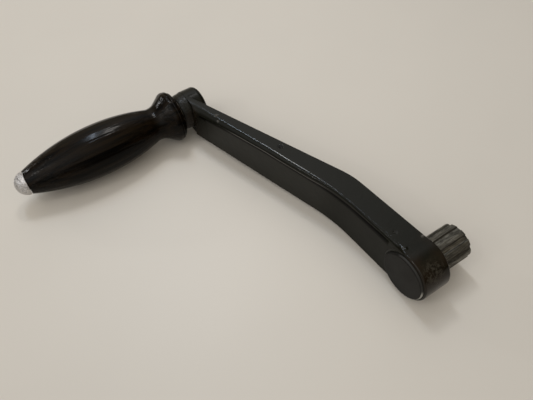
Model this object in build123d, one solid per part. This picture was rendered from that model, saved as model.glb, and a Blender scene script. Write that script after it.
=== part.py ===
"""Hand crank handle: a cast dog-leg arm, a splined drive shaft and a turned grip that spins on its spindle.

Frame: the origin is on the drive shaft's axis, in the plane of the boss's rear face. +Y points out along
the splined stub, -X points along the arm to the grip, and +Z is up as the handle lies on its narrow edge.
All sizes are in millimetres.
"""
import os
from build123d import *

# ---- Arm: boss and eye -----------------------------------------------------------------------------------
crank_throw = 150.0             # drive shaft axis to spindle axis
boss_radius = 13.65
boss_length = 15.4
boss_front_round = 0.9
boss_rear_round = 0.8
eye_radius = 10.65
eye_rear_y = -35.4              # rear face of the eye
eye_length = 9.6
eye_rear_round = 2.8
neck_length = 5.3               # cast neck that the grip's washer bears on
neck_radius = 10.45             # where it leaves the eye's front face
neck_groove_radius = 10.2       # from this slight groove the neck curves in to its front face
neck_groove_station = 2.0       # from the eye's front face
neck_end_radius = 9.5
neck_round = 0.4

# ---- Arm: dog-leg bar, given where its straight faces would meet -----------------------------------------
bend_front_x = -48.0
bend_front_y = -17.6
bend_rear_x = -51.6
bend_rear_y = -4.8
boss_end_front_y = -14.4        # front face of the bar on the drive shaft's axis
boss_end_rear_y = -0.1
nose_reach = 12.0               # from the spindle's axis to where the bar's front face ends
nose_y = -46.0                  # from there the bar falls back to the eye's front face
nose_length = 3.0
eye_end_rear_y = -43.4          # rear face of the bar on the spindle's axis
bend_front_radius = 100.0
bend_rear_radius = 42.0
flank_inset = 0.05              # the bar's edges lie this far inside the rounds of the boss and the eye
rim_round = 4.0                 # large round along the upper front edge
lower_round = 1.5
rear_round = 0.8
rim_fade_start_x = -11.5        # between these two places the large round tightens to the boss's own corner
rim_fade_end_x = -3.5
rim_fade_round = 0.8

# ---- Arm: sunk panel on the front face -------------------------------------------------------------------
panel_drop = 4.5                # upper edge of the panel, below the top of the bar
panel_depth = 0.8               # at the bar's nose, from where it rises to nothing at its run-out
panel_runout_x = -56.0
panel_upper_reach = 13.8        # from the spindle's axis to the panel's leaning end, at its upper corner
panel_lower_reach = 9.6         # and level with the bottom of the boss
panel_corner_round = 2.0

# ---- Drive shaft -----------------------------------------------------------------------------------------
shaft_radius = 9.2              # plain length inside the boss
head_radius = 12.45             # head that closes the boss in front
head_thickness = 1.3
head_round = 1.0
spline_count = 10
spline_major_radius = 9.1
spline_root_radius = 7.9
spline_tooth_width = 2.9
spline_corner_round = 0.35
spline_length = 18.4
spline_lead_chamfer = 0.7
spline_phase = 98.0             # angle of the middle of one tooth, from +X towards +Z

# ---- Grip: radii, and stations from its inner end towards its tip ----------------------------------------
grip_length = 87.6
tip_radius = 6.45
tip_round = 0.4
belly_radius = 13.95
belly_station = 46.6
waist_start_radius = 9.66
waist_start_station = 16.6
waist_corner_radius = 8.54
waist_corner_station = 12.76
waist_round = 7.4
bead_radius = 14.35
bead_station = 4.6
bead_round = 3.0
bead_end_station = 3.15
groove_width = 0.3
groove_depth = 0.5
ring_radius = 14.1
ring_width = 1.45
end_ring_radius = 13.2
end_face_radius = 12.2          # edge of the grip's inner end face

# ---- Spindle, washer and end dome ------------------------------------------------------------------------
spindle_radius = 4.0
tail_radius = 3.0               # reduced end that carries the dome
tail_length = 3.6
rivet_radius = 6.0              # end closed over behind the eye
rivet_height = 1.4
washer_radius = 9.3
washer_thickness = 1.0
washer_round = 0.25
dome_radius = 6.35
dome_height = 6.0
dome_skirt = 0.8                # straight length next to the grip
dome_hole_spare = 0.3

# ---- Fits ------------------------------------------------------------------------------------------------
press_clearance = 0.02          # radial, between parts that are pressed together
running_clearance = 0.10        # radial, of the grip and the washer on the spindle
end_float = 0.30                # the grip's play at each end

# ---- Places that follow from the sizes -------------------------------------------------------------------
boss_front_y = -boss_length
eye_front_y = eye_rear_y - eye_length
neck_end_y = eye_front_y - neck_length
washer_end_y = neck_end_y - washer_thickness
grip_inner_y = washer_end_y - end_float
grip_tip_y = grip_inner_y - grip_length
dome_base_y = grip_tip_y - end_float
spindle_x = -crank_throw
nose_x = spindle_x + nose_reach
far = 2 * crank_throw           # reach of a cut that has to leave the casting


def cylinder_along_y(radius, y_from, y_to, x=0.0):
    """A solid cylinder whose axis is parallel to Y."""
    disc = Plane(origin=(x, y_from, 0.0), x_dir=(1, 0, 0), z_dir=(0, 1, 0)) * Circle(radius)
    return extrude(disc, amount=y_to - y_from)


def turned(outline, x=0.0):
    """A solid turned about the Y-parallel axis at x, from a closed outline of (radius, y) curves."""
    half_section = Location((x, 0.0, 0.0)) * make_face(outline)
    return revolve(half_section, Axis((x, 0.0, 0.0), (0, 1, 0)), 360)


def edges_of(*curves):
    """All edges of several curves, in order."""
    return [edge for curve in curves for edge in curve.edges()]


def bar_half_height(x):
    """Half of the bar's height at x: a straight taper from the boss to the eye."""
    share = -x / crank_throw
    return boss_radius * (1 - share) + eye_radius * share - flank_inset


def height_on(line_from, line_to, x):
    """Y at x on the straight line through two (x, y) points."""
    slope = (line_to[1] - line_from[1]) / (line_to[0] - line_from[0])
    return line_from[1] + slope * (x - line_from[0])


def front_y(x):
    """Y of the bar's front face at x, with its bend left sharp."""
    bend = (bend_front_x, bend_front_y)
    far_end = (nose_x, nose_y) if x < bend_front_x else (0.0, boss_end_front_y)
    return height_on(bend, far_end, x)


def rear_y(x):
    """Y of the bar's rear face at x, with its bend left sharp."""
    bend = (bend_rear_x, bend_rear_y)
    far_end = (spindle_x, eye_end_rear_y) if x < bend_rear_x else (0.0, boss_end_rear_y)
    return height_on(bend, far_end, x)


def bar_edges(bar, upper, front):
    """The bar's long edges along its upper or lower, front or rear corner."""
    chosen = []
    for edge in bar.edges():
        middle = edge.position_at(0.5)
        along = edge.tangent_at(0.5)
        is_long = along.X ** 2 > along.Y ** 2 + along.Z ** 2
        is_front = middle.Y < (front_y(middle.X) + rear_y(middle.X)) / 2
        if is_long and is_front == front and (middle.Z > 0) == upper:
            chosen.append(edge)
    return chosen


def arm_bar():
    """The dog-leg bar between the boss and the eye, with its rounded corners."""
    bar_end_front = (spindle_x, front_y(spindle_x))
    bar_end_rear = (spindle_x, eye_end_rear_y)
    front_bend = (bend_front_x, bend_front_y)
    rear_bend = (bend_rear_x, bend_rear_y)
    front = FilletPolyline(bar_end_front, front_bend, (0.0, boss_end_front_y), radius=bend_front_radius)
    rear = FilletPolyline((0.0, boss_end_rear_y), rear_bend, bar_end_rear, radius=bend_rear_radius)
    boss_end = Line((0.0, boss_end_front_y), (0.0, boss_end_rear_y))
    eye_end = Line(bar_end_rear, bar_end_front)
    slab = extrude(make_face(edges_of(front, boss_end, rear, eye_end)), amount=boss_radius, both=True)
    tall = bar_half_height(0.0)
    short = bar_half_height(spindle_x)
    side = make_face(Polyline((0, tall), (spindle_x, short), (spindle_x, -short), (0, -tall), close=True))
    bar = slab & extrude(Plane.XZ * side, amount=far, both=True)
    bar = fillet(bar_edges(bar, upper=True, front=True), rim_round)
    bar = fillet(bar_edges(bar, upper=False, front=True), lower_round)
    bar = fillet(bar_edges(bar, upper=True, front=False), rear_round)
    return fillet(bar_edges(bar, upper=False, front=False), rear_round)


def nose_cut():
    """What lies in front of the bar where its nose falls back to the eye's front face."""
    plan = Polyline(
        (nose_x, nose_y),
        (nose_x - nose_length, eye_front_y),
        (spindle_x - eye_radius, eye_front_y),
        (spindle_x - eye_radius, -far),
        (nose_x, -far),
        close=True,
    )
    return extrude(make_face(plan), amount=boss_radius, both=True)


def rim_corner(x, corner_y, corner_round):
    """Cross-section at x of the bar's upper front quarter."""
    top = bar_half_height(x) - flank_inset
    middle_y = -boss_length / 2
    corner = FilletPolyline((middle_y, top), (corner_y, top), (corner_y, 0.0), radius=corner_round)
    inside = Polyline((corner_y, 0.0), (middle_y, 0.0), (middle_y, top))
    return Plane(origin=(x, 0, 0), x_dir=(0, 1, 0), z_dir=(1, 0, 0)) * make_face(edges_of(corner, inside))


def rim_fade():
    """The corner that fills out the large round beside the boss, nearly flush with the boss's front face."""
    corner_y = boss_front_y + flank_inset
    sections = [
        rim_corner(rim_fade_start_x, front_y(rim_fade_start_x) + flank_inset, rim_round),
        rim_corner(rim_fade_end_x, corner_y, rim_fade_round),
        rim_corner(0.0, corner_y, rim_fade_round),
    ]
    return loft(sections, ruled=True)


def panel_cut():
    """The shallow wedge that sinks the front panel; it leaves the rim above it and runs out at the bend."""
    runout = (panel_runout_x, front_y(panel_runout_x))
    deepest = (nose_x, nose_y + panel_depth)
    past_nose = (spindle_x, height_on(runout, deepest, spindle_x))
    plan = Polyline(past_nose, runout, (panel_runout_x, -far), (spindle_x, -far), close=True)
    wedge = extrude(make_face(plan), amount=boss_radius, both=True)
    upper_end_x = spindle_x + panel_upper_reach
    upper_end = (upper_end_x, bar_half_height(upper_end_x) - panel_drop)
    upper_runout = (panel_runout_x, bar_half_height(panel_runout_x) - panel_drop)
    lower_end = (spindle_x + panel_lower_reach, -boss_radius)
    edge = FilletPolyline(lower_end, upper_end, upper_runout, radius=panel_corner_round)
    below = Polyline(upper_runout, (panel_runout_x, -boss_radius), lower_end)
    side = make_face(edges_of(edge, below))
    return wedge & extrude(Plane.XZ * side, amount=far, both=True)


def eye():
    """The round eye with its waisted neck, turned about the spindle's axis."""
    groove = (neck_groove_radius, eye_front_y - neck_groove_station)
    back = FilletPolyline(
        (0.0, eye_rear_y), (eye_radius, eye_rear_y), (eye_radius, eye_front_y), radius=eye_rear_round
    )
    step = Line((eye_radius, eye_front_y), (neck_radius, eye_front_y))
    bead = TangentArc((neck_radius, eye_front_y), groove, tangent=(0, -1))
    taper = TangentArc(groove, (neck_end_radius, neck_end_y), tangent=(0, -1))
    inside = Polyline((neck_end_radius, neck_end_y), (0.0, neck_end_y), (0.0, eye_rear_y))
    body = turned(edges_of(back, step, bead, taper, inside), spindle_x)
    front_edge = body.edges().filter_by(GeomType.CIRCLE).group_by(Axis.Y)[0]
    return fillet(front_edge, neck_round)


def crank_arm():
    """The casting: boss, dog-leg bar with its sunk panel, and eye."""
    boss = cylinder_along_y(boss_radius, boss_front_y, 0.0)
    boss = fillet(boss.edges().group_by(Axis.Y)[0], boss_front_round)
    boss = fillet(boss.edges().group_by(Axis.Y)[-1], boss_rear_round)
    bar = arm_bar() - panel_cut() - nose_cut()
    casting = bar + rim_fade() + boss + eye()
    shaft_bore = cylinder_along_y(shaft_radius + press_clearance, boss_front_y, 0.0)
    spindle_bore = cylinder_along_y(spindle_radius + press_clearance, neck_end_y, eye_rear_y, spindle_x)
    return casting - shaft_bore - spindle_bore


def spline_section():
    """Cross-section of the splined stub: a root circle with evenly spaced straight-sided teeth."""
    section = Circle(spline_root_radius)
    for index in range(spline_count):
        angle = spline_phase + index * 360 / spline_count
        tooth = Pos(spline_major_radius / 2, 0) * Rectangle(spline_major_radius, spline_tooth_width)
        section += Rot(0, 0, angle) * tooth
    section &= Circle(spline_major_radius)
    return fillet(section.vertices(), spline_corner_round)


def drive_shaft():
    """The shaft: a head over the boss's front face, a plain length in its bore, and the splined stub."""
    head = cylinder_along_y(head_radius, boss_front_y - head_thickness, boss_front_y)
    front_edge = head.edges().sort_by(Axis.Y)[0]
    head = fillet(front_edge, head_round)
    plain = cylinder_along_y(shaft_radius, boss_front_y, 0.0)
    stub_plane = Plane(origin=(0, 0, 0), x_dir=(1, 0, 0), z_dir=(0, 1, 0))
    stub = extrude(stub_plane * spline_section(), amount=spline_length)
    lead = Polyline(
        (0.0, 0.0),
        (spline_major_radius, 0.0),
        (spline_major_radius, spline_length - spline_lead_chamfer),
        (spline_major_radius - spline_lead_chamfer, spline_length),
        (0.0, spline_length),
        close=True,
    )
    stub &= turned(edges_of(lead))
    return head + plain + stub


def grip():
    """The turned grip: barrel, waist, bead and two rings, bored right through for the spindle."""

    def at(radius, station):
        return (radius, grip_inner_y - station)

    bore_radius = spindle_radius + running_clearance
    ring_end = bead_end_station - groove_width - ring_width
    end_ring_start = ring_end - groove_width
    ring_floor = ring_radius - groove_depth
    end_floor = end_ring_radius - groove_depth
    barrel_outer = TangentArc(at(belly_radius, belly_station), at(tip_radius, grip_length), tangent=(0, -1))
    barrel_inner = TangentArc(
        at(belly_radius, belly_station), at(waist_start_radius, waist_start_station), tangent=(0, 1)
    )
    collar = FilletPolyline(
        at(waist_start_radius, waist_start_station),
        at(waist_corner_radius, waist_corner_station),
        at(bead_radius, bead_station),
        at(bead_radius, bead_end_station),
        radius=[waist_round, bead_round],
    )
    first_groove = Polyline(
        at(bead_radius, bead_end_station),
        at(ring_floor, bead_end_station),
        at(ring_floor, bead_end_station - groove_width),
    )
    ring = ThreePointArc(
        at(ring_floor, bead_end_station - groove_width),
        at(ring_radius, ring_end + ring_width / 2),
        at(ring_floor, ring_end),
    )
    second_groove = Polyline(
        at(ring_floor, ring_end),
        at(end_floor, ring_end),
        at(end_floor, end_ring_start),
        at(end_ring_radius, end_ring_start),
    )
    end_ring = TangentArc(at(end_ring_radius, end_ring_start), at(end_face_radius, 0), tangent=(0, 1))
    bore = Polyline(
        at(end_face_radius, 0), at(bore_radius, 0), at(bore_radius, grip_length), at(tip_radius, grip_length)
    )
    outline = edges_of(barrel_outer, barrel_inner, collar, first_groove, ring, second_groove, end_ring, bore)
    body = turned(outline, spindle_x)
    tip_edge = body.edges().filter_by(GeomType.CIRCLE).group_by(Axis.Y)[0].sort_by(SortBy.RADIUS)[-1]
    return fillet(tip_edge, tip_round)


def grip_spindle():
    """The spindle: closed over behind the eye, plain through the grip, reduced to carry the dome."""
    rivet_top = (0.0, eye_rear_y + rivet_height)
    rivet = TangentArc(rivet_top, (rivet_radius, eye_rear_y), tangent=(1, 0))
    shank = Polyline(
        rivet_top,
        (0.0, dome_base_y - tail_length),
        (tail_radius, dome_base_y - tail_length),
        (tail_radius, dome_base_y),
        (spindle_radius, dome_base_y),
        (spindle_radius, eye_rear_y),
        (rivet_radius, eye_rear_y),
    )
    return turned(edges_of(rivet, shank), spindle_x)


def thrust_washer():
    """The washer between the eye's neck and the grip."""
    hole_radius = spindle_radius + running_clearance
    outline = FilletPolyline(
        (hole_radius, neck_end_y),
        (washer_radius, neck_end_y),
        (washer_radius, washer_end_y),
        (hole_radius, washer_end_y),
        radius=washer_round,
    )
    return turned(edges_of(outline, Line((hole_radius, washer_end_y), (hole_radius, neck_end_y))), spindle_x)


def end_dome():
    """The domed cap on the spindle's tail, which keeps the grip on."""
    hole_radius = tail_radius + press_clearance
    hole_end_y = dome_base_y - tail_length - dome_hole_spare
    apex = (0.0, dome_base_y - dome_height)
    cap_edge = (dome_radius, dome_base_y - dome_skirt)
    skirt = Line((dome_radius, dome_base_y), cap_edge)
    cap = TangentArc(apex, cap_edge, tangent=(1, 0))
    inside = Polyline(
        apex,
        (0.0, hole_end_y),
        (hole_radius, hole_end_y),
        (hole_radius, dome_base_y),
        (dome_radius, dome_base_y),
    )
    return turned(edges_of(skirt, cap, inside), spindle_x)


nodes = {
    "crank_arm": crank_arm,
    "drive_shaft": drive_shaft,
    "grip": grip,
    "grip_spindle": grip_spindle,
    "thrust_washer": thrust_washer,
    "end_dome": end_dome,
}

os.makedirs("parts", exist_ok=True)
for name, make in nodes.items():
    export_step(make(), f"parts/{name}.step")
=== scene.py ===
"""Finishes, floor, light and camera for the hand crank handle. Lengths are in metres."""
import math

import bmesh
import bpy
from mathutils import Matrix, Vector

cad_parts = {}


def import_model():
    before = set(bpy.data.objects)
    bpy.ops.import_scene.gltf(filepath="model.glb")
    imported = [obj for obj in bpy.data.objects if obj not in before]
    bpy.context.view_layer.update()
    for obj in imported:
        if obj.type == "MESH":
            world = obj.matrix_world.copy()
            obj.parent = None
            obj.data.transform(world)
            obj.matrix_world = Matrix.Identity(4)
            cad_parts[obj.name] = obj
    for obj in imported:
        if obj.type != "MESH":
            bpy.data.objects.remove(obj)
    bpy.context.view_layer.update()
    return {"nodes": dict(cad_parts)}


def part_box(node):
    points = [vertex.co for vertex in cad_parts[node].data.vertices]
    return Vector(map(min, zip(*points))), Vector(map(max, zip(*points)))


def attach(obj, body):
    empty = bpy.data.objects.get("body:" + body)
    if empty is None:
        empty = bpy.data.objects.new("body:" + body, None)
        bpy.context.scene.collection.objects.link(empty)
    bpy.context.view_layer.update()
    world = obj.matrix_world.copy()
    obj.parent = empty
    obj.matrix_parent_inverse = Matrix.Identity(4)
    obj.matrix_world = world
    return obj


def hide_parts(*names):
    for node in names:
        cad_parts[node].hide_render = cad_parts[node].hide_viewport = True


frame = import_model()
nodes = frame["nodes"]

# ---- Places taken from the frame -------------------------------------------------------------
arm_low, arm_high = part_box("crank_arm")
shaft_low, shaft_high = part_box("drive_shaft")
grip_low, grip_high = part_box("grip")
boss_radius = arm_high.x
head_radius = shaft_high.x
head_front = shaft_low.y
spindle_x = (grip_low.x + grip_high.x) / 2
eye_radius = spindle_x - arm_low.x

# ---- Front of the arm ------------------------------------------------------------------------
# The front face in plan: boss end, bend and nose. It repeats the plan in the part's source.
front_path = [Vector((-0.0055, -0.01477)), Vector((-0.048, -0.0176)), Vector((-0.138, -0.046))]
front_bend_radius = 0.1
straight_step = 0.004           # between sections on the straight runs
bend_steps = 12                 # and round the bend
bar_slope = (boss_radius - eye_radius) / -spindle_x

# Each list below holds (x, value) stations along the arm, with straight lines between them.
rim_corner = [                  # radius of the upper front corner
    (-0.138, 0.0040), (-0.115, 0.0034), (-0.090, 0.0032), (-0.080, 0.0026), (-0.070, 0.0023),
    (-0.062, 0.0021), (-0.045, 0.0011), (-0.030, 0.0014), (-0.015, 0.0022), (-0.0055, 0.0025),
]
rim_drop = [                    # from the bar's top down to the panel's upper edge
    (-0.138, 0.0031), (-0.110, 0.0022), (-0.090, 0.0020), (-0.065, 0.0026), (-0.045, 0.0024),
    (-0.030, 0.0018), (-0.013, 0.0016),
]
band_height = [                 # height of the dull band below that edge
    (-0.138, 0.0026), (-0.110, 0.0020), (-0.090, 0.0018), (-0.065, 0.0022), (-0.045, 0.0034),
    (-0.013, 0.0042),
]
panel_depth = [                 # depth of the recess
    (-0.138, 0.0008), (-0.100, 0.00055), (-0.070, 0.00045), (-0.045, 0.00045),
    (-0.016, 0.00035), (-0.013, 0.0001),
]
panel_start, panel_end = -0.1338, -0.0130
# The dull band's levels, as (share of its height where the level ends, gloss of its paint)
band_levels = [(0.45, 0.012), (0.72, 0.05), (1.0, 0.11)]

rim_proud = 0.00001             # the rim's bar stands this far out, so that no faces coincide
rim_reach = 0.0046              # how far the bar reaches inward along the top
rim_foot = 0.0043               # how far it reaches down the front
rim_toe = 0.0018                # its thickness at both ends, inside the casting
corner_steps = 8
edge_lean = 0.0001              # how far the recess's upper flank falls on its way in
recess_lean = 0.00001           # how much deeper the recess is at the cutter's foot
cutter_stand_off = 0.002        # the recess's cutter starts this far before the front
cutter_foot = 0.03              # and ends below the bar
band_facing = -0.8              # a face of the band has a normal with less Y than this
cad_weld = 1e-6                 # points of the CAD mesh nearer than this are one
cut_weld = 4e-6                 # and those that the cuts leave
sharp_angle = math.radians(28)

# ---- Wear ------------------------------------------------------------------------------------
chip_grey = (0.075, 0.070, 0.060)
smudge_grey, smudge_black = (0.016, 0.015, 0.013), (0.004, 0.0035, 0.003)
chipped = [                     # (middle, radius, colour)
    ((-0.0062, -0.0018, 0.0134), 0.0016, chip_grey),
    ((-0.1262, -0.0383, 0.0111), 0.0014, chip_grey),
    ((-0.1225, -0.0394, 0.0103), 0.0010, chip_grey),
    ((-0.0146, -0.0108, 0.0133), 0.0016, smudge_grey),
    ((-0.0876, -0.0231, 0.0118), 0.0022, smudge_black),
]
# Small lumps in the paint where the rim ends at the boss, as (middle, radius)
lumps = [((-0.0054, -0.0126, 0.0134), 0.0012), ((-0.0041, -0.0150, 0.0124), 0.0010)]
rough_patch = (0.0098, -0.0085, 0.0095)
rough_patch_core, rough_patch_radius = 0.002, 0.0085
rim_edge_highlight_start, rim_edge_highlight_end = -0.118, -0.050      # the stretch of the rim whose rubbed lower edge gets a painted highlight
eye_neck = (-0.0435, -0.0465, -0.128, -0.136)  # where brown begins and is full: in Y, then in X

# ---- Colours ---------------------------------------------------------------------------------
enamel_dark, enamel_light = (0.0048, 0.0048, 0.0028), (0.0072, 0.0071, 0.0040)
enamel_brown = (0.0125, 0.0080, 0.0042)
band_black = (0.0022, 0.0018, 0.0014)
# Rubbed lower edge of the rim, painted pale as its highlight
rim_edge_highlight_grey = (0.088, 0.082, 0.074)
rough_grey = (0.034, 0.029, 0.020)
head_black = (0.0050, 0.0045, 0.0034)
# Rubbed rim of the head, painted pale as its highlight
head_rim_highlight = (0.36, 0.345, 0.31)
steel_dark, steel_mid = (0.045, 0.042, 0.034), (0.135, 0.128, 0.108)
steel_light = (0.33, 0.315, 0.27)
grease = (0.045, 0.041, 0.033)
lacquer_dark, lacquer_brown = (0.0008, 0.0006, 0.0004), (0.0085, 0.0050, 0.0022)
lacquer_scuff = (0.010, 0.010, 0.011)
spindle_dark, spindle_light = (0.020, 0.017, 0.014), (0.085, 0.075, 0.062)
dome_dark, dome_light = (0.26, 0.25, 0.24), (0.68, 0.66, 0.65)
floor_colour = (0.62, 0.58, 0.52)
floor_lightest = 1.04           # brightest cloud on the floor, against its colour

# Specular levels of the black paints; the shader's usual one is 0.5
enamel_gloss = 0.2
lacquer_gloss = 0.10

# ---- Camera ----------------------------------------------------------------------------------
camera_place = Vector((0.06827, -0.13519, 0.2259))
camera_direction = Vector((-0.49535, 0.32756, -0.80457))
camera_roll = -0.736            # degrees, about the line of sight
camera_lens = 37.68
camera_sensor = 36.0
camera_clip_start = 0.01

# ---- Light -----------------------------------------------------------------------------------
lamp_target = Vector((-0.07, -0.03, 0.0))
lamps = [                       # (name, place, length, width, share of the floor's light, tint)
    ("key", (-0.31, 0.035, 0.45), 0.07, 0.07, 0.11, (1.0, 0.97, 0.93)),
    ("strip", (-0.68, 0.02, 1.14), 0.44, 0.028, 0.115, (0.72, 0.84, 1.0)),
    ("front", (-0.11, -0.78, 1.05), 0.10, 0.10, 0.03, (1.0, 0.98, 0.95)),
    ("low_front", (-0.215, -1.07, 0.83), 0.06, 0.06, 0.02, (1.0, 0.98, 0.95)),
    ("low_left", (-1.15, -0.62, 0.385), 0.06, 0.06, 0.015, (0.95, 0.97, 1.0)),
]
sky = [                         # soft glows: (direction, power, colour at the middle)
    ((-0.56, 0.32, 0.77), 10, (0.98, 0.98, 0.97)),
    ((0.56, 0.32, 0.77), 8, (0.34, 0.26, 0.16)),
    ((0.42, -0.50, 0.76), 4, (1.02, 1.01, 0.98)),
    ((-0.94, 0.0, 0.34), 8, (0.40, 0.34, 0.25)),
    ((0.0, -0.64, 0.77), 8, (0.80, 0.80, 0.80)),
    ((0.0, 0.0, 1.0), 8, (0.26, 0.24, 0.21)),
]

floor_size = 4.0


class Tree:
    """Adds nodes to the tree of a material or the world. Values and links go by input name."""

    def __init__(self, owner, output="OutputMaterial"):
        self.owner = owner
        owner.use_nodes = True
        self.tree = owner.node_tree
        self.tree.nodes.clear()
        self.output = self.add(output)

    def add(self, kind, settings=None, **inputs):
        """An input is named as Blender names it, or by its number as in _0."""
        node = self.tree.nodes.new("ShaderNode" + kind)
        for key, value in (settings or {}).items():
            setattr(node, key, value)
        for key, value in inputs.items():
            by_number = key[1:].isdigit()
            socket = node.inputs[int(key[1:])] if by_number else node.inputs[key.replace("_", " ")]
            if isinstance(value, bpy.types.NodeSocket):
                self.tree.links.new(value, socket)
            elif socket.type == "RGBA":
                socket.default_value = (*value, 1.0)
            else:
                socket.default_value = value
        return node

    def place(self):
        """Object coordinates, in metres."""
        return self.add("TexCoord").outputs["Object"]

    def split(self, vector):
        """The X, Y and Z of a vector."""
        return self.add("SeparateXYZ", Vector=vector).outputs[:]

    def scaled(self, place, x, y, z):
        return self.add("Mapping", Vector=place, Scale=(x, y, z)).outputs[0]

    def noise(self, place, scale, detail=4.0, roughness=0.55):
        node = self.add("TexNoise", Vector=place, Scale=scale, Detail=detail, Roughness=roughness)
        return node.outputs["Fac"]

    def ramp(self, value, *stops):
        """A colour on straight lines through (position, colour) stops."""
        node = self.add("ValToRGB", Fac=value)
        elements = node.color_ramp.elements
        while len(elements) < len(stops):
            elements.new(0.5)
        for element, (position, tone) in zip(elements, stops):
            element.position = position
            element.color = (*tone, 1.0)
        return node.outputs["Color"]

    def math(self, operation, a, b, c=0.0):
        return self.add("Math", {"operation": operation}, _0=a, _1=b, _2=c).outputs[0]

    def both(self, *masks):
        """The product of masks: where all of them are."""
        product = masks[0]
        for mask in masks[1:]:
            product = self.math("MULTIPLY", product, mask)
        return product

    def either(self, a, b):
        return self.math("MAXIMUM", a, b)

    def mix(self, share, a, b):
        """From colour a to colour b."""
        return self.add("Mix", {"data_type": "RGBA"}, _0=share, _6=a, _7=b).outputs[2]

    def blend(self, share, a, b):
        """From value a to value b."""
        return self.add("Mix", {"data_type": "FLOAT"}, _0=share, _2=a, _3=b).outputs[0]

    def map_range(self, value, form, low, high, to_low, to_high):
        node = self.add("MapRange", {"interpolation_type": form, "clamp": True}, Value=value)
        limits = {"From Min": low, "From Max": high, "To Min": to_low, "To Max": to_high}
        for key, number in limits.items():
            node.inputs[key].default_value = number
        return node.outputs[0]

    def remap(self, value, low, high, to_low=0.0, to_high=1.0):
        """Eases from to_low at low to to_high at high. Low may be the greater of the two."""
        return self.map_range(value, "SMOOTHSTEP", low, high, to_low, to_high)

    def near(self, place, centre, inner, outer):
        """One within the inner distance of a place, fading to nothing at the outer."""
        gap = self.add("VectorMath", {"operation": "DISTANCE"}, _0=place, _1=centre)
        return self.remap(gap.outputs["Value"], inner, outer, 1.0, 0.0)

    def curve(self, value, stations):
        """A value on straight lines through (input, output) stations."""
        total = stations[0][1]
        for (low, first), (high, second) in zip(stations, stations[1:]):
            rise = self.map_range(value, "LINEAR", low, high, 0.0, second - first)
            total = self.math("ADD", rise, total)
        return total

    def bump(self, height, distance, normal=None):
        node = self.add("Bump", Height=height, Distance=distance, Strength=1.0)
        if normal is not None:
            self.tree.links.new(normal, node.inputs["Normal"])
        return node.outputs[0]

    def finish(self, **inputs):
        shader = self.add("BsdfPrincipled", None, **inputs)
        self.tree.links.new(shader.outputs[0], self.output.inputs["Surface"])
        return self.owner


def coated(piece, material):
    """Puts one material on every slot of a piece."""
    if not piece.data.materials:
        piece.data.materials.append(material)
    for index in range(len(piece.data.materials)):
        piece.data.materials[index] = material


def between(stations, x):
    """A value at x, on straight lines through (x, value) stations."""
    for (low, first), (high, second) in zip(stations, stations[1:]):
        if x <= high:
            return first + (second - first) * max(x - low, 0.0) / (high - low)
    return stations[-1][1]


def bar_top(x):
    """Z of the bar's top, which falls from the boss to the eye."""
    return boss_radius + bar_slope * x


def front_line():
    """Points of the arm's front face in plan with the outward direction at each, nose last."""
    start, bend, end = front_path
    back, on = (start - bend).normalized(), (end - bend).normalized()
    turn = math.pi - back.angle(on)
    reach = front_bend_radius * math.tan(turn / 2)
    points = []
    for a, b in ((start, bend + back * reach), (bend + on * reach, end)):
        count = max(2, round((b - a).length / straight_step))
        points.append([a + (b - a) * i / count for i in range(count + 1)])
    first, last = points[0][-1], points[1][0]
    steps = [i / bend_steps for i in range(1, bend_steps)]
    arc = [first * (1 - t) ** 2 + bend * 2 * t * (1 - t) + last * t ** 2 for t in steps]
    line = points[0] + arc + points[1]
    for index, point in enumerate(line):
        along = line[min(index + 1, len(line) - 1)] - line[max(index - 1, 0)]
        yield point, Vector((-along.y, along.x)).normalized()


def swept(name, section, start, end):
    """A closed bar along the arm's front: section(x) gives points as (inward, below the top)."""
    mesh = bmesh.new()
    rings = []
    for point, out in front_line():
        if not start <= point.x <= end:
            continue
        ring = []
        for inward, below in section(point.x):
            place = point - out * inward
            ring.append(mesh.verts.new((place.x, place.y, bar_top(point.x) - below)))
        rings.append(ring)
    for one, two in zip(rings, rings[1:]):
        for i in range(len(one)):
            j = (i + 1) % len(one)
            mesh.faces.new((one[i], one[j], two[j], two[i]))
    mesh.faces.new(rings[0])
    mesh.faces.new(list(reversed(rings[-1])))
    bmesh.ops.recalc_face_normals(mesh, faces=mesh.faces)
    data = bpy.data.meshes.new(name)
    mesh.to_mesh(data)
    mesh.free()
    piece = bpy.data.objects.new(name, data)
    bpy.context.scene.collection.objects.link(piece)
    return piece


def rim_section(x):
    """The bar that the rim gains: its corner has the radius of this place."""
    radius = between(rim_corner, x)
    points = [(rim_reach, -rim_proud)]
    for i in range(corner_steps + 1):
        angle = math.radians(90 * i / corner_steps)
        inward, below = radius * (1 - math.sin(angle)), radius * (1 - math.cos(angle))
        points.append((inward - rim_proud, below - rim_proud))
    return points + [(-rim_proud, rim_foot), (rim_toe, rim_foot), (rim_reach, rim_toe)]


def recess_section(x):
    """What the recess takes from the front, with an edge where each level of the band ends."""
    top, height = between(rim_drop, x), between(band_height, x)
    depth = between(panel_depth, x)
    points = [(-cutter_stand_off, top), (depth, top + edge_lean)]
    points += [(depth, top + height * share) for share, _ in band_levels]
    return points + [(depth + recess_lean, cutter_foot), (-cutter_stand_off, cutter_foot)]


def band_level(face):
    """The face's material slot: 0 outside the dull band, then one for each of its levels."""
    place = face.calc_center_median()
    if face.normal.y > band_facing or not panel_start < place.x < panel_end:
        return 0
    under = bar_top(place.x) - place.z - between(rim_drop, place.x)
    ends = [share * between(band_height, place.x) for share, _ in band_levels]
    if under < 0.0 or under > ends[-1]:
        return 0
    return 1 + sum(under > end for end in ends)


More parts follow.
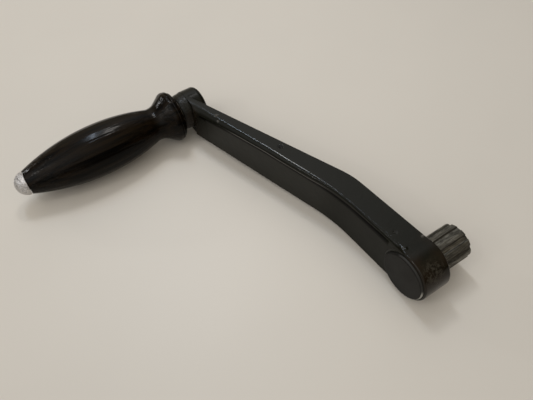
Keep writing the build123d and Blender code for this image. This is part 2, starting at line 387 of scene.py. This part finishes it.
def refined_arm():
    """The casting with its varying corner and its recess. It stands for the plainer CAD node."""
    arm = bpy.data.objects.new("arm", nodes["crank_arm"].data.copy())
    bpy.context.scene.collection.objects.link(arm)
    mesh = bmesh.new()
    mesh.from_mesh(arm.data)
    bmesh.ops.remove_doubles(mesh, verts=mesh.verts, dist=cad_weld)
    mesh.to_mesh(arm.data)
    mesh.free()
    helpers = [
        (swept("rim", rim_section, front_path[2].x, front_path[0].x), "UNION"),
        (swept("recess", recess_section, panel_start, panel_end), "DIFFERENCE"),
    ]
    for helper, operation in helpers:
        cut = arm.modifiers.new(helper.name, "BOOLEAN")
        cut.operation = operation
        cut.solver = "EXACT"
        cut.object = helper
    evaluated = arm.evaluated_get(bpy.context.evaluated_depsgraph_get())
    shaped = bpy.data.meshes.new_from_object(evaluated)
    arm.modifiers.clear()
    arm.data = shaped
    for helper, _ in helpers:
        bpy.data.objects.remove(helper)
    mesh = bmesh.new()
    mesh.from_mesh(shaped)
    bmesh.ops.remove_doubles(mesh, verts=mesh.verts, dist=cut_weld)
    bmesh.ops.dissolve_degenerate(mesh, edges=mesh.edges, dist=cut_weld)
    bmesh.ops.triangulate(mesh, faces=[face for face in mesh.faces if len(face.verts) > 4])
    for face in mesh.faces:
        face.smooth = True
        face.material_index = band_level(face)
    for edge in mesh.edges:
        edge.smooth = edge.calc_face_angle(0.0) < sharp_angle
    mesh.to_mesh(shaped)
    mesh.free()
    arm.modifiers.new("normals", "WEIGHTED_NORMAL").keep_sharp = True
    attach(arm, "crank")
    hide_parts("crank_arm")
    return arm


def arm_paint(name="arm_paint", gloss=enamel_gloss):
    """Black enamel on a casting: darker under the rim, with a painted highlight on the rim's
    rubbed lower edge, worn spots and a rough patch.
    """
    t = Tree(bpy.data.materials.new(name))
    place = t.place()
    x, y, z = t.split(place)
    facing = t.split(t.add("NewGeometry").outputs["Normal"])[1]
    cloud = t.noise(place, 60.0, detail=5.0)
    waves = t.noise(place, 210.0, detail=2.0)
    cast = t.noise(place, 750.0, detail=5.0, roughness=0.6)
    specks = t.noise(place, 1500.0, detail=4.0, roughness=0.7)
    pits = t.noise(place, 620.0, detail=6.0, roughness=0.75)

    # The dull band under the rim, and the rim's rubbed lower edge painted pale as its highlight
    below = t.math("SUBTRACT", t.math("MULTIPLY_ADD", x, bar_slope, boss_radius), z)
    under = t.math("SUBTRACT", below, t.curve(x, rim_drop))
    share_down = t.math("DIVIDE", under, t.curve(x, band_height))
    in_front = t.remap(facing, -0.25, -0.6)
    on_panel = t.both(
        t.remap(x, panel_start - 0.002, panel_start),
        t.remap(x, panel_end + 0.001, panel_end - 0.005),
        in_front,
    )
    band = t.both(t.remap(under, 0.00002, 0.0001), t.remap(share_down, 1.1, 0.6))
    band = t.both(band, on_panel)
    rim_edge = t.both(t.remap(under, -0.0005, -0.0003), t.remap(under, 0.00005, 0.0))
    rim_edge_highlight_run = t.both(
        t.remap(x, rim_edge_highlight_start, rim_edge_highlight_start + 0.010),
        t.remap(x, rim_edge_highlight_end, rim_edge_highlight_end - 0.010),
    )
    # Painted highlight on the rim's rubbed lower edge
    wear_and_highlight = t.both(rim_edge, in_front, rim_edge_highlight_run)

    # Brown showing through at the neck and over the boss
    from_y, full_y, from_x, full_x = eye_neck
    neck = t.both(t.remap(y, from_y, full_y), t.remap(x, from_x, full_x))
    brown = t.either(neck, t.remap(x, -0.011, 0.001))
    brown = t.both(brown, t.remap(cloud, 0.36, 0.62))

    chips, chip_colour = None, (0.0, 0.0, 0.0)
    for centre, radius, shade in chipped:
        spot = t.both(t.near(place, centre, radius * 0.3, radius), t.remap(specks, 0.40, 0.50))
        chip_colour = t.mix(t.math("GREATER_THAN", spot, 0.0), chip_colour, shade)
        chips = spot if chips is None else t.either(chips, spot)
    patch = t.near(place, rough_patch, rough_patch_core, rough_patch_radius)
    pitted = t.both(patch, t.remap(pits, 0.46, 0.58))
    broken = t.either(chips, pitted)

    base = t.ramp(cloud, (0.3, enamel_dark), (0.7, enamel_light))
    base = t.mix(brown, base, enamel_brown)
    base = t.mix(band, base, band_black)
    base = t.mix(wear_and_highlight, base, rim_edge_highlight_grey)
    base = t.mix(pitted, base, rough_grey)
    base = t.mix(chips, base, chip_colour)

    # Smooth on top, rougher towards the eye, on the front and where the casting shows
    roughness = t.remap(t.noise(place, 90.0), 0.3, 0.7, 0.10, 0.15)
    roughness = t.blend(t.remap(x, -0.118, -0.138), roughness, 0.28)
    roughness = t.blend(t.remap(facing, -0.92, -0.99), roughness, 0.54)
    roughness = t.blend(neck, roughness, t.remap(cast, 0.35, 0.65, 0.22, 0.5))
    roughness = t.blend(broken, roughness, 0.6)

    normal = t.bump(waves, 0.00007)
    normal = t.bump(cast, 0.00003, normal)
    normal = t.bump(t.both(cast, neck), 0.00022, normal)
    for centre, radius in lumps:
        normal = t.bump(t.near(place, centre, 0.0, radius), 0.0003, normal)
    sunk = t.math("MULTIPLY", t.either(chips, t.both(patch, specks)), -1.0)
    normal = t.bump(sunk, 0.00012, normal)
    return t.finish(
        Base_Color=base, Roughness=roughness, Normal=normal, Specular_IOR_Level=gloss
    )


def shaft_steel():
    """Bare scored steel on the splined stub, with grease in its cuts; black enamel on the head."""
    t = Tree(bpy.data.materials.new("shaft_steel"))
    place = t.place()
    x, y, z = t.split(place)
    streaks = t.noise(t.scaled(place, 1500.0, 130.0, 1500.0), 1.0, detail=6.0, roughness=0.7)
    stains = t.noise(t.scaled(place, 330.0, 120.0, 330.0), 1.0, detail=6.0, roughness=0.7)
    scores = t.noise(t.scaled(place, 2600.0, 700.0, 2600.0), 1.0, detail=3.0)
    bare = t.remap(y, -0.0003, 0.0003)
    greased = t.remap(stains, 0.44, 0.60)

    # The head's rim is rubbed low on its right, and faintly at its top right, and painted pale
    # there as its highlight
    radius = t.math("POWER", t.math("MULTIPLY_ADD", z, z, t.math("MULTIPLY", x, x)), 0.5)
    rim = t.both(
        t.remap(radius, head_radius - 0.0005, head_radius - 0.0003),
        t.remap(y, head_front + 0.0013, head_front + 0.0010),
    )
    low_right = t.both(t.remap(x, 0.0030, 0.0062), t.remap(z, 0.0040, 0.0))
    top_right = t.both(t.remap(x, -0.0060, -0.0045), t.remap(z, -0.001, 0.003))
    # Rubbed rim of the head with its painted highlight
    wear_and_highlight = t.both(rim, t.either(low_right, t.math("MULTIPLY", top_right, 0.05)))

    steel = t.ramp(streaks, (0.30, steel_dark), (0.52, steel_mid), (0.72, steel_light))
    steel = t.mix(greased, steel, grease)
    base = t.mix(bare, t.mix(wear_and_highlight, head_black, head_rim_highlight), steel)
    dulled = t.math("SUBTRACT", 1.0, t.math("MULTIPLY", greased, 0.6))
    metal = t.both(bare, dulled)
    enamel_roughness = t.remap(t.noise(place, 90.0), 0.3, 0.7, 0.50, 0.58)
    steel_roughness = t.remap(stains, 0.3, 0.7, 0.38, 0.62)
    roughness = t.blend(bare, enamel_roughness, steel_roughness)
    height = t.math("ADD", t.math("MULTIPLY", streaks, 0.7), t.math("MULTIPLY", scores, 0.3))
    normal = t.bump(t.both(height, bare), 0.0003)
    normal = t.bump(t.noise(place, 750.0, detail=5.0), 0.00003, normal)
    return t.finish(
        Base_Color=base, Metallic=metal, Roughness=roughness, Normal=normal,
        Specular_IOR_Level=enamel_gloss,
    )


def grip_lacquer():
    """Black lacquer on turned wood: lengthwise grain shows through, with scuffs at the tip."""
    t = Tree(bpy.data.materials.new("grip_lacquer"))
    place = t.place()
    y = t.split(place)[1]
    grain = t.noise(t.scaled(place, 420.0, 16.0, 420.0), 1.0, detail=4.0, roughness=0.6)
    wave = t.noise(t.scaled(place, 150.0, 20.0, 150.0), 1.0, detail=2.0)
    ridges = t.noise(t.scaled(place, 330.0, 9.0, 330.0), 1.0, detail=3.0, roughness=0.55)
    specks = t.noise(t.scaled(place, 1500.0, 900.0, 1500.0), 1.0, detail=4.0, roughness=0.7)
    scuffed = t.both(t.remap(y, -0.112, -0.134), t.remap(specks, 0.56, 0.70))
    base = t.ramp(grain, (0.38, lacquer_dark), (0.64, lacquer_brown))
    base = t.mix(scuffed, base, lacquer_scuff)
    roughness = t.remap(specks, 0.35, 0.75, 0.15, 0.21)
    roughness = t.blend(scuffed, roughness, 0.32)
    normal = t.bump(wave, 0.00030)
    normal = t.bump(ridges, 0.00042, normal)
    normal = t.bump(grain, 0.00005, normal)
    normal = t.bump(t.both(scuffed, specks), 0.00008, normal)
    return t.finish(
        Base_Color=base, Roughness=roughness, Normal=normal, Specular_IOR_Level=lacquer_gloss
    )


def dark_steel(name):
    """Steel of the spindle and the washer, darkened with old grease."""
    t = Tree(bpy.data.materials.new(name))
    place = t.place()
    stains = t.noise(place, 500.0, detail=5.0)
    base = t.ramp(stains, (0.3, spindle_dark), (0.7, spindle_light))
    roughness = t.remap(stains, 0.3, 0.7, 0.30, 0.5)
    normal = t.bump(stains, 0.00003)
    return t.finish(Base_Color=base, Metallic=0.9, Roughness=roughness, Normal=normal)


def dome_metal():
    """Pale metal cap with a speckled, lightly dented skin."""
    t = Tree(bpy.data.materials.new("dome_metal"))
    place = t.place()
    dents = t.noise(place, 420.0, detail=3.0)
    grain = t.noise(place, 1500.0, detail=4.0, roughness=0.65)
    base = t.ramp(grain, (0.34, dome_dark), (0.58, dome_light))
    roughness = t.remap(grain, 0.3, 0.7, 0.34, 0.52)
    normal = t.bump(dents, 0.0014)
    normal = t.bump(grain, 0.00005, normal)
    return t.finish(Base_Color=base, Metallic=0.8, Roughness=roughness, Normal=normal)


def floor():
    """A pale table top, level with the lowest line of the boss and the grip's ring."""
    slope = (-boss_radius - grip_low.z) / -spindle_x
    mesh = bpy.data.meshes.new("floor")
    half = floor_size / 2
    corners = [(-half, -half), (half, -half), (half, half), (-half, half)]
    mesh.from_pydata([(x, y, -boss_radius + slope * x) for x, y in corners], [], [(0, 1, 2, 3)])
    table = bpy.data.objects.new("floor", mesh)
    bpy.context.scene.collection.objects.link(table)
    t = Tree(bpy.data.materials.new("floor"))
    place = t.place()
    tone = t.noise(place, 7.0, detail=3.0)
    lightest = tuple(c * floor_lightest for c in floor_colour)
    base = t.ramp(tone, (0.3, floor_colour), (0.7, lightest))
    normal = t.bump(t.noise(place, 300.0), 0.00003)
    mesh.materials.append(t.finish(Base_Color=base, Roughness=0.45, Normal=normal))


def lamp(name, place, length, width, share, tint):
    """A soft box that faces the handle and gives its share of the light on the floor there."""
    place = Vector(place)
    towards = lamp_target - place
    data = bpy.data.lights.new(name, "AREA")
    data.shape = "RECTANGLE"
    data.size = width
    data.size_y = length
    data.color = tint
    data.energy = share * math.pi * math.pi * towards.length ** 3 / place.z
    box = bpy.data.objects.new(name, data)
    box.location = place
    box.rotation_euler = towards.to_track_quat("-Z", "Y").to_euler()
    bpy.context.scene.collection.objects.link(box)


def world():
    """A soft sky: the sum of a few wide, faint glows."""
    studio = bpy.data.worlds.new("studio")
    bpy.context.scene.world = studio
    t = Tree(studio, "OutputWorld")
    direction = t.add("TexCoord").outputs["Generated"]
    total = None
    for middle, power, tint in sky:
        towards = Vector(middle).normalized()
        dot = t.add("VectorMath", {"operation": "DOT_PRODUCT"}, _0=direction, _1=towards)
        glow = t.math("POWER", t.math("MAXIMUM", dot.outputs["Value"], 0.0), float(power))
        part = t.add("VectorMath", {"operation": "SCALE"}, _0=tint, Scale=glow).outputs[0]
        if total is not None:
            part = t.add("VectorMath", {"operation": "ADD"}, _0=total, _1=part).outputs[0]
        total = part
    shader = t.add("Background", Color=total, Strength=1.0)
    t.tree.links.new(shader.outputs[0], t.output.inputs["Surface"])


def camera():
    data = bpy.data.cameras.new("camera")
    data.lens = camera_lens
    data.sensor_width = camera_sensor
    data.sensor_fit = "HORIZONTAL"
    data.clip_start = camera_clip_start
    eye = bpy.data.objects.new("camera", data)
    turn = camera_direction.to_track_quat("-Z", "Y").to_matrix().to_4x4()
    roll = Matrix.Rotation(math.radians(camera_roll), 4, "Z")
    eye.matrix_world = Matrix.Translation(camera_place) @ turn @ roll
    bpy.context.scene.collection.objects.link(eye)
    bpy.context.scene.camera = eye


camera()
for values in lamps:
    lamp(*values)
world()
floor()
paint = arm_paint()
coated(nodes["crank_arm"], paint)
arm = refined_arm()
coated(arm, paint)
for index, (_, gloss) in enumerate(band_levels):
    arm.data.materials.append(arm_paint(f"arm_band_{index}", gloss))
coated(nodes["drive_shaft"], shaft_steel())
coated(nodes["grip"], grip_lacquer())
coated(nodes["grip_spindle"], dark_steel("spindle_steel"))
coated(nodes["thrust_washer"], dark_steel("washer_steel"))
coated(nodes["end_dome"], dome_metal())

bpy.context.scene.view_settings.view_transform = "Standard"
